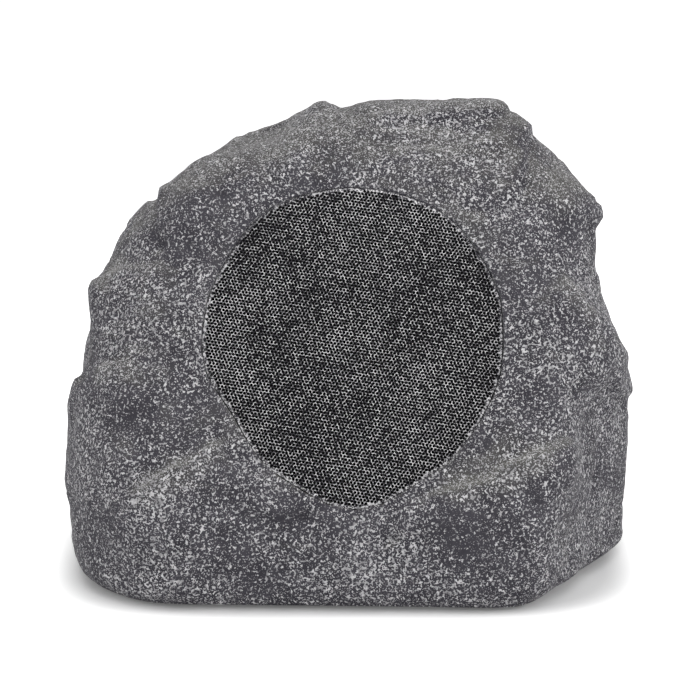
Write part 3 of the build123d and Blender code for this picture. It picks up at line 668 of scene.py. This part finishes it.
def grille_sheet():
    index, centres = hole_centres()
    angles = ROW_TILT + math.pi / 6 + np.arange(6) * math.pi / 3
    hexagon = np.stack([np.cos(angles), np.sin(angles)], axis=1) * HOLE_FLATS / math.sqrt(3)
    corners = (centres[:, None, :] + hexagon[None, :, :]).reshape(-1, 2)
    count = len(corners)
    web = web_faces(index)
    edges = border_edges(web, len(centres))
    profile = [
        (EDGE_ROUND, GRILLE_FRONT),
        (0.3 * EDGE_ROUND, GRILLE_FRONT - 0.3 * EDGE_ROUND),
        (0, GRILLE_FRONT - EDGE_ROUND),
        (0, GRILLE_BACK),
        (SKIRT_THICK, GRILLE_BACK),
        (SKIRT_THICK, GRILLE_FRONT - SHEET_THICK),
    ]
    rings = [inset(OUTLINE, distance) for distance, _ in profile]
    size = len(OUTLINE)
    layers = [np.column_stack([corners, np.full(count, GRILLE_FRONT)])]
    layers.append(np.column_stack([corners, np.full(count, GRILLE_FRONT - SHEET_THICK)]))
    layers += [np.column_stack([ring, np.full(size, out)]) for ring, (_, out) in zip(rings, profile)]
    first_ring = 2 * count
    last_ring = first_ring + (len(profile) - 1) * size

    def numbered(face, shift, ring):
        return [ring + c[1] if isinstance(c, tuple) else c + shift for c in face]

    faces = [face for face in web]
    faces += [numbered(face, 0, first_ring) for face in rim_faces(corners, edges, rings[0])]
    back = [numbered(face, count, last_ring) for face in web + rim_faces(corners, edges, rings[-1])]
    faces += [face[::-1] for face in back]
    for hole in range(len(centres)):
        for side in range(6):
            start, end = 6 * hole + side, 6 * hole + (side + 1) % 6
            faces.append([start, end, end + count, start + count])
    for ring in range(len(profile) - 1):
        low = first_ring + ring * size
        for i in range(size):
            j = (i + 1) % size
            faces.append([low + j, low + i, low + size + i, low + size + j])
    grille = new_piece("grille_mesh", from_face(np.vstack(layers)), faces)
    shade_smooth(grille.data, SHEET_SHARP_DEGREES)
    return grille


def scrim_cloth():
    """Black cloth stretched behind the grille, and its flat area."""
    solid = to_face(vertices_of(frame["nodes"]["grille_scrim"].data))
    middle = (solid[:, 2].min() + solid[:, 2].max()) / 2
    outline = inset(OUTLINE, OUTLINE[:, 0].max() - solid[:, 0].max())
    low, high = outline.min(0), outline.max(0)
    across = np.arange(low[0], high[0], CLOTH_CELL)
    up = np.arange(low[1], high[1], CLOTH_CELL)
    spots = np.stack(np.meshgrid(across, up), axis=2).reshape(-1, 2)
    spots = spots[inside_polygon(spots, inset(outline, CLOTH_CELL / 2))]
    size = len(outline)
    ring = [(i, (i + 1) % size) for i in range(size)]
    flat = [Vector(spot) for spot in np.vstack([outline, spots])]
    made = delaunay_2d_cdt(flat, ring, [list(range(size))], 1, 1e-9)
    points = np.column_stack([np.array(made[0]), np.full(len(made[0]), middle)])
    cloth = new_piece("scrim_cloth", from_face(points), [list(face) for face in made[2]])
    shade_smooth(cloth.data, SHEET_SHARP_DEGREES)
    return cloth, high - low, sum(face.area for face in cloth.data.polygons)


# Materials

class Nodes:
    """Short calls for building one material's node tree."""

    def __init__(self, name):
        self.material = bpy.data.materials.new(name)
        self.material.use_nodes = True
        self.tree = self.material.node_tree
        self.shader = self.tree.nodes["Principled BSDF"]
        self.place = self.add("ShaderNodeTexCoord").outputs["Object"]

    def add(self, kind, **settings):
        node = self.tree.nodes.new(kind)
        for key, value in settings.items():
            setattr(node, key, value)
        return node

    def put(self, socket, value):
        if isinstance(value, bpy.types.NodeSocket):
            self.tree.links.new(value, socket)
        else:
            socket.default_value = value

    def noise(self, scale, detail=2.0, roughness=0.5, distortion=0.0, place=None):
        node = self.add("ShaderNodeTexNoise")
        self.put(node.inputs["Vector"], place or self.place)
        node.inputs["Scale"].default_value = scale
        node.inputs["Detail"].default_value = detail
        node.inputs["Roughness"].default_value = roughness
        node.inputs["Distortion"].default_value = distortion
        return node.outputs["Fac"]

    def spread(self, value, low, high, to_low=0.0, to_high=1.0):
        node = self.add("ShaderNodeMapRange", interpolation_type="SMOOTHSTEP")
        self.put(node.inputs["Value"], value)
        self.put(node.inputs["From Min"], low)
        self.put(node.inputs["From Max"], high)
        self.put(node.inputs["To Min"], to_low)
        self.put(node.inputs["To Max"], to_high)
        return node.outputs["Result"]

    def math(self, operation, first, second):
        node = self.add("ShaderNodeMath", operation=operation)
        self.put(node.inputs[0], first)
        self.put(node.inputs[1], second)
        return node.outputs[0]

    def mix(self, share, first, second):
        node = self.add("ShaderNodeMix", data_type="RGBA")
        self.put(node.inputs["Factor"], share)
        self.put(node.inputs["A"], first)
        self.put(node.inputs["B"], second)
        return node.outputs["Result"]

    def bump(self, height, distance, strength=1.0, under=None):
        node = self.add("ShaderNodeBump")
        self.put(node.inputs["Height"], height)
        node.inputs["Distance"].default_value = distance
        node.inputs["Strength"].default_value = strength
        if under is not None:
            self.put(node.inputs["Normal"], under)
        return node.outputs["Normal"]

    def finish(self, colour, roughness, normal=None, metallic=0.0, specular=0.5):
        self.put(self.shader.inputs["Base Color"], colour)
        self.put(self.shader.inputs["Roughness"], roughness)
        self.shader.inputs["Metallic"].default_value = metallic
        self.shader.inputs["Specular IOR Level"].default_value = specular
        if normal is not None:
            self.put(self.shader.inputs["Normal"], normal)
        return self.material


def srgb(red, green, blue):
    """A colour given as it looks on a screen, from 0 to 255."""
    def linear(part):
        part /= 255
        return part / 12.92 if part <= 0.04045 else ((part + 0.055) / 1.055) ** 2.4
    return (linear(red), linear(green), linear(blue), 1.0)


# Painted light: the lit tone laid on faces that point up and to the sides, and on the lit ledges
PAINTED_LIGHT_TONE = srgb(106, 105, 99)
SPARSE = 0.585
DENSE = 0.53
# How much each patch of painted light and shade changes the spatter and the lit tone, and the share of its
# radius at full strength
PATCH_SPATTER = 0.035
PATCH_PAINTED_LIGHT = 0.3
PATCH_CORE = 0.3


def speckled_stone(name, paint, pale, painted_light_share, fleck_scale, more=0.0, painted_patches=(), holes=None):
    """Dark paint with pale spatter, thicker in some places than in others, and painted light on faces that
    point up and to the sides.

    paint and pale are pairs of tones. more adds spatter everywhere, and each patch paints a highlight on a
    lit ledge, and shade in a crease or undercut where its amount is negative, by adding and taking spatter
    and lit tone.
    holes is the painted shade on the walls that don't face out of the grille."""
    n = Nodes(name)
    paint = n.mix(n.spread(n.noise(60, 3), 0.3, 0.7), *paint)
    facing = n.add("ShaderNodeSeparateXYZ")
    n.put(facing.inputs["Vector"], n.add("ShaderNodeNewGeometry").outputs["Normal"])
    # Painted light: faces turned towards the side lamps take a share of the lit tone
    sideways = n.math("MULTIPLY", n.math("ABSOLUTE", facing.outputs["X"], 0.0), 0.45)
    upward = n.math("MAXIMUM", facing.outputs["Z"], sideways)
    upward = n.math("ADD", upward, n.spread(n.noise(35, 3), 0.3, 0.7, -0.2, 0.15))
    # Painted light: the lit tone grows on faces that point up
    painted_light = n.spread(upward, 0.35, 0.95, 0.0, painted_light_share)
    density = n.spread(n.noise(20, 3, 0.6), 0.32, 0.68, SPARSE - more, DENSE - more)
    # Painted highlights on lit ledges and painted shade in creases and undercuts: more spatter and lit
    # tone, and less where the amount is negative
    for spot, radius, amount in painted_patches:
        away = n.add("ShaderNodeVectorMath", operation="DISTANCE")
        n.put(away.inputs[0], n.place)
        away.inputs[1].default_value = spot
        patch = n.spread(away.outputs["Value"], PATCH_CORE * radius, radius, amount, 0.0)
        density = n.math("SUBTRACT", density, n.math("MULTIPLY", patch, PATCH_SPATTER))
        painted_light = n.math("ADD", painted_light, n.math("MULTIPLY", patch, PATCH_PAINTED_LIGHT))
    paint = n.mix(painted_light, paint, PAINTED_LIGHT_TONE)
    # Painted light: faces that point up lose some flecks, so that they read as evenly lit
    painted_light_thinning = n.spread(upward, 0.45, 0.85, 0.0, 0.05)
    flecks = n.noise(fleck_scale, 2.0, 0.55, 0.2)
    blob = n.spread(n.math("SUBTRACT", flecks, n.math("ADD", density, painted_light_thinning)), 0.0, 0.03)
    fine = n.noise(2.0 * fleck_scale, 1.0, 0.5, 0.2)
    dots = n.spread(n.math("ADD", n.math("SUBTRACT", fine, density), painted_light_thinning), 0.04, 0.08)
    spatter = n.math("MAXIMUM", blob, n.math("MULTIPLY", dots, 0.8))
    pale = n.mix(n.spread(n.noise(260, 2), 0.35, 0.65), *pale)
    colour = n.mix(spatter, paint, pale)
    # Painted shade: the walls of the holes and the sheet's sides, which don't face out, take the dark holes
    # colour
    if holes:
        outward = n.add("ShaderNodeVectorMath", operation="DOT_PRODUCT")
        n.put(outward.inputs[0], n.add("ShaderNodeNewGeometry").outputs["Normal"])
        outward.inputs[1].default_value = FACE_OUT
        colour = n.mix(n.spread(outward.outputs["Value"], 0.3, 0.7), holes, colour)
    roughness = n.spread(n.noise(300, 2), 0.3, 0.7, 0.72, 0.9)
    grain = n.bump(n.noise(650, 3, 0.6), 0.0006, 0.5)
    normal = n.bump(spatter, 0.00025, 0.6, grain)
    return n.finish(colour, roughness, normal, specular=0.3)


def moulded(name, colour, roughness, grain_scale=900, tint=0.75):
    """Plain moulded plastic or rubber with a fine grain."""
    n = Nodes(name)
    dark = tuple(part * tint for part in colour[:3]) + (1.0,)
    tone = n.spread(n.noise(45, 3), 0.3, 0.7)
    rough = n.spread(n.noise(220, 2), 0.3, 0.7, roughness - 0.08, roughness + 0.08)
    normal = n.bump(n.noise(grain_scale, 2), 0.0003, 0.4)
    return n.finish(n.mix(tone, dark, colour), rough, normal)


def metal(name, colour, roughness, stretch=(1, 1, 18)):
    """Metal with faint lines of its making."""
    n = Nodes(name)
    mapping = n.add("ShaderNodeMapping")
    n.put(mapping.inputs["Vector"], n.place)
    mapping.inputs["Scale"].default_value = stretch
    lines = n.noise(160, 3, 0.6, 0.0, mapping.outputs["Vector"])
    worn = n.spread(n.noise(60, 4), 0.35, 0.7)
    dull = tuple(part * 0.7 for part in colour[:3]) + (1.0,)
    rough = n.spread(lines, 0.25, 0.75, roughness - 0.1, roughness + 0.12)
    normal = n.bump(lines, 0.0002, 0.35)
    return n.finish(n.mix(worn, dull, colour), rough, normal, metallic=1.0)


def woven(name, light, dark, pitch):
    """Plain weave from two crossed waves, with painted shade where the threads dip."""
    n = Nodes(name)
    height = None
    for direction in ("X", "Z"):
        wave = n.add("ShaderNodeTexWave", bands_direction=direction)
        n.put(wave.inputs["Vector"], n.place)
        wave.inputs["Scale"].default_value = 0.314 / pitch
        wave.inputs["Distortion"].default_value = 0.4
        threads = wave.outputs["Fac"]
        height = threads if height is None else n.math("MULTIPLY", height, threads)
    rough = n.spread(n.noise(300, 2), 0.3, 0.7, 0.85, 0.98)
    # Painted shade: darker where the threads dip between the crossings
    return n.finish(n.mix(height, dark, light), rough, n.bump(height, 0.0002, 0.6), specular=0.15)


def wound(name, colour, pitch, axis):
    """Turns of enamelled wire laid side by side, with painted shade in the grooves between them."""
    n = Nodes(name)
    wave = n.add("ShaderNodeTexWave", bands_direction=axis)
    n.put(wave.inputs["Vector"], n.place)
    wave.inputs["Scale"].default_value = 0.314 / pitch
    turns = wave.outputs["Fac"]
    # Painted shade: darker where the turns meet
    dark = tuple(part * 0.35 for part in colour[:3]) + (1.0,)
    rough = n.spread(n.noise(200, 2), 0.3, 0.7, 0.28, 0.42)
    return n.finish(n.mix(turns, dark, colour), rough, n.bump(turns, 0.0003, 0.8), metallic=0.9)


def slot_materials(painted_patches):
    """One material for each slot of the record."""
    rock_paint = (srgb(56, 54, 61), srgb(72, 70, 77))
    rock_pale = (srgb(164, 163, 166), srgb(226, 225, 227))
    grille_paint = (srgb(46, 44, 50), srgb(64, 62, 68))
    grille_pale = (srgb(200, 199, 202), srgb(248, 247, 249))
    return {
        "rock": speckled_stone("speckled_rock", rock_paint, rock_pale, 0.5, 570, painted_patches=painted_patches),
        "grille_steel": speckled_stone(
            # holes is painted shade on the walls of the holes
            "speckled_grille", grille_paint, grille_pale, 0.0, 620, more=0.045, holes=srgb(5, 5, 6)
        ),
        "base": moulded("moulded_base", srgb(44, 43, 46), 0.55),
        "foam_seal": moulded("foam_strip", srgb(30, 30, 32), 0.95, 1400),
        "screw_steel": metal("zinc_screw", srgb(176, 178, 180), 0.35),
        "foot_rubber": moulded("foot_rubber", srgb(28, 28, 29), 0.8),
        "scrim_cloth": woven("scrim_weave", srgb(9, 9, 10), srgb(3, 3, 3), 0.0006),
        "basket_steel": moulded("coated_basket", srgb(34, 34, 36), 0.42),
        "surround_rubber": moulded("surround_rubber", srgb(26, 26, 27), 0.62),
        "spider_cloth": woven("spider_cloth", srgb(196, 152, 84), srgb(120, 86, 40), 0.0008),
        "motor_steel": metal("plated_steel", srgb(160, 160, 158), 0.38),
        "ferrite": moulded("ferrite", srgb(46, 45, 47), 0.7, 500),
        "tweeter_shell": moulded("tweeter_shell", srgb(30, 30, 32), 0.4),
        "dome_film": moulded("dome_film", srgb(178, 170, 150), 0.35),
        "strip_board": moulded("strip_board", srgb(126, 84, 44), 0.6),
        "copper": metal("bare_copper", srgb(196, 120, 78), 0.3),
        "circuit_board": moulded("circuit_board", srgb(28, 88, 52), 0.4),
        "coil_wire": wound("coil_wire", srgb(190, 104, 60), 0.0009, "Z"),
        "capacitor_sleeve": moulded("capacitor_sleeve", srgb(36, 54, 92), 0.3),
        "terminal_green": moulded("terminal_green", srgb(44, 128, 66), 0.45),
        "cable_black": moulded("cable_black", srgb(24, 24, 25), 0.5),
        "gland_nylon": moulded("gland_nylon", srgb(34, 34, 36), 0.45),
        "gland_rubber": moulded("gland_rubber", srgb(22, 22, 23), 0.75),
        "cone_poly": moulded("cone_poly", srgb(38, 38, 40), 0.32),
        "former_film": moulded("former_film", srgb(168, 122, 60), 0.35),
    }


def dress(piece, material):
    piece.data.materials.clear()
    piece.data.materials.append(material)


# Stage

FLOOR_HALF = 8.0
# The floor's glow grows with the distance from the rock's foot, in shares of the rock's own reach, so the
# low glow near the foot is a painted contact shadow and the full glow further out is plain white
BASE_SQUARE = 4.0
FLOOR_GLOW_UNDER_PAINTED_SHADOW = 0.1
FLOOR_GLOW_FAR = 0.8
PAINTED_SHADOW_FADE_FROM = 0.9
PAINTED_SHADOW_FADE_TO = 1.1
WORLD_LIGHT = 0.31
LAMP_AIM = Vector((0, 0, 0.15))
SOFTBOXES = [
    # name, place, size, power in watts
    ("top_light", (0.15, -0.25, 2.2), (2.2, 2.2), 20),
    ("front_light", (0.3, -2.4, 1.4), (2.0, 1.6), 17),
    ("right_light", (2.2, -0.5, 0.9), (1.2, 1.4), 10),
    ("left_light", (-2.2, -0.2, 0.9), (1.2, 1.4), 5.5),
]


def make_stage():
    """White floor that keeps the lamps' shadow, with a painted contact shadow where its glow is turned down
    near the rock's foot, and that fades to plain white behind the rock.
    """
    half = FLOOR_HALF
    corners = [(-half, -half, 0), (half, -half, 0), (half, half, 0), (-half, half, 0)]
    floor = new_piece("floor", corners, [[0, 1, 2, 3]])
    n = Nodes("pale_floor")
    spot = n.add("ShaderNodeSeparateXYZ")
    n.put(spot.inputs["Vector"], n.place)
    shares = []
    for axis, reach in (("X", ROCK_HIGH.x), ("Y", ROCK_HIGH.y)):
        share = n.math("ABSOLUTE", n.math("DIVIDE", spot.outputs[axis], reach), 0.0)
        shares.append(n.math("POWER", share, BASE_SQUARE))
    away = n.math("POWER", n.math("ADD", *shares), 1 / BASE_SQUARE)
    # Painted shadow: little glow close to the rock's foot, full glow further out
    glow = n.spread(away, PAINTED_SHADOW_FADE_FROM, PAINTED_SHADOW_FADE_TO, FLOOR_GLOW_UNDER_PAINTED_SHADOW, FLOOR_GLOW_FAR)
    path = n.add("ShaderNodeLightPath")
    seen = n.math("MAXIMUM", path.outputs["Is Camera Ray"], path.outputs["Is Glossy Ray"])
    seen = n.math("MAXIMUM", seen, path.outputs["Is Transmission Ray"])
    n.shader.inputs["Base Color"].default_value = (0.86, 0.86, 0.86, 1)
    n.shader.inputs["Roughness"].default_value = 0.9
    n.shader.inputs["Specular IOR Level"].default_value = 0.1
    n.shader.inputs["Emission Color"].default_value = (1, 1, 1, 1)
    n.put(n.shader.inputs["Emission Strength"], n.math("MULTIPLY", seen, glow))
    floor.data.materials.append(n.material)


def make_world():
    world = bpy.data.worlds.new("studio")
    bpy.context.scene.world = world
    world.use_nodes = True
    tree = world.node_tree
    tree.nodes.clear()
    out = tree.nodes.new("ShaderNodeOutputWorld")
    lit = tree.nodes.new("ShaderNodeBackground")
    lit.inputs["Strength"].default_value = WORLD_LIGHT
    lit.inputs["Color"].default_value = (1, 1, 1, 1)
    shown = tree.nodes.new("ShaderNodeBackground")
    shown.inputs["Color"].default_value = (1, 1, 1, 1)
    shown.inputs["Strength"].default_value = 1.0
    mix = tree.nodes.new("ShaderNodeMixShader")
    path = tree.nodes.new("ShaderNodeLightPath")
    seen = path.outputs["Is Camera Ray"]
    for kind in ("Is Glossy Ray", "Is Transmission Ray"):
        either = tree.nodes.new("ShaderNodeMath")
        either.operation = "MAXIMUM"
        tree.links.new(seen, either.inputs[0])
        tree.links.new(path.outputs[kind], either.inputs[1])
        seen = either.outputs[0]
    tree.links.new(seen, mix.inputs[0])
    tree.links.new(lit.outputs[0], mix.inputs[1])
    tree.links.new(shown.outputs[0], mix.inputs[2])
    tree.links.new(mix.outputs[0], out.inputs["Surface"])


def add_softbox(name, place, size, power):
    light = bpy.data.lights.new(name, "AREA")
    light.shape = "RECTANGLE"
    light.size, light.size_y = size
    light.energy = power
    lamp = bpy.data.objects.new(name, light)
    lamp.location = place
    aim = LAMP_AIM - Vector(place)
    lamp.rotation_euler = aim.to_track_quat("-Z", "Y").to_euler()
    bpy.context.scene.collection.objects.link(lamp)


def add_camera():
    data = bpy.data.cameras.new("camera")
    data.lens = LENS_MM
    data.sensor_width = SENSOR_MM
    camera = bpy.data.objects.new("camera", data)
    back = Vector((0, -math.cos(CAMERA_ELEVATION), math.sin(CAMERA_ELEVATION)))
    camera.location = CAMERA_TARGET + back * CAMERA_DISTANCE
    camera.rotation_euler = (-back).to_track_quat("-Z", "Y").to_euler()
    bpy.context.scene.collection.objects.link(camera)
    bpy.context.scene.camera = camera


# Build

rock = rock_body()
materials = slot_materials(light_and_shade_spots(rock))
for node in frame["nodes"].values():
    for number, used in enumerate(node.data.materials):
        slot = used.name.split(".")[0]
        node.data.materials[number] = materials[slot]

dress(rock, materials["rock"])
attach(rock, "cabinet")
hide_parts("rock_shell")

grille = grille_sheet()
dress(grille, materials["grille_steel"])
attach(grille, "cabinet")
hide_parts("grille")

scrim, scrim_flat, scrim_area = scrim_cloth()
dress(scrim, materials["scrim_cloth"])
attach(scrim, "cabinet")
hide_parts("grille_scrim")

make_stage()
make_world()
for softbox in SOFTBOXES:
    add_softbox(*softbox)
add_camera()
bpy.context.scene.view_settings.view_transform = "Standard"
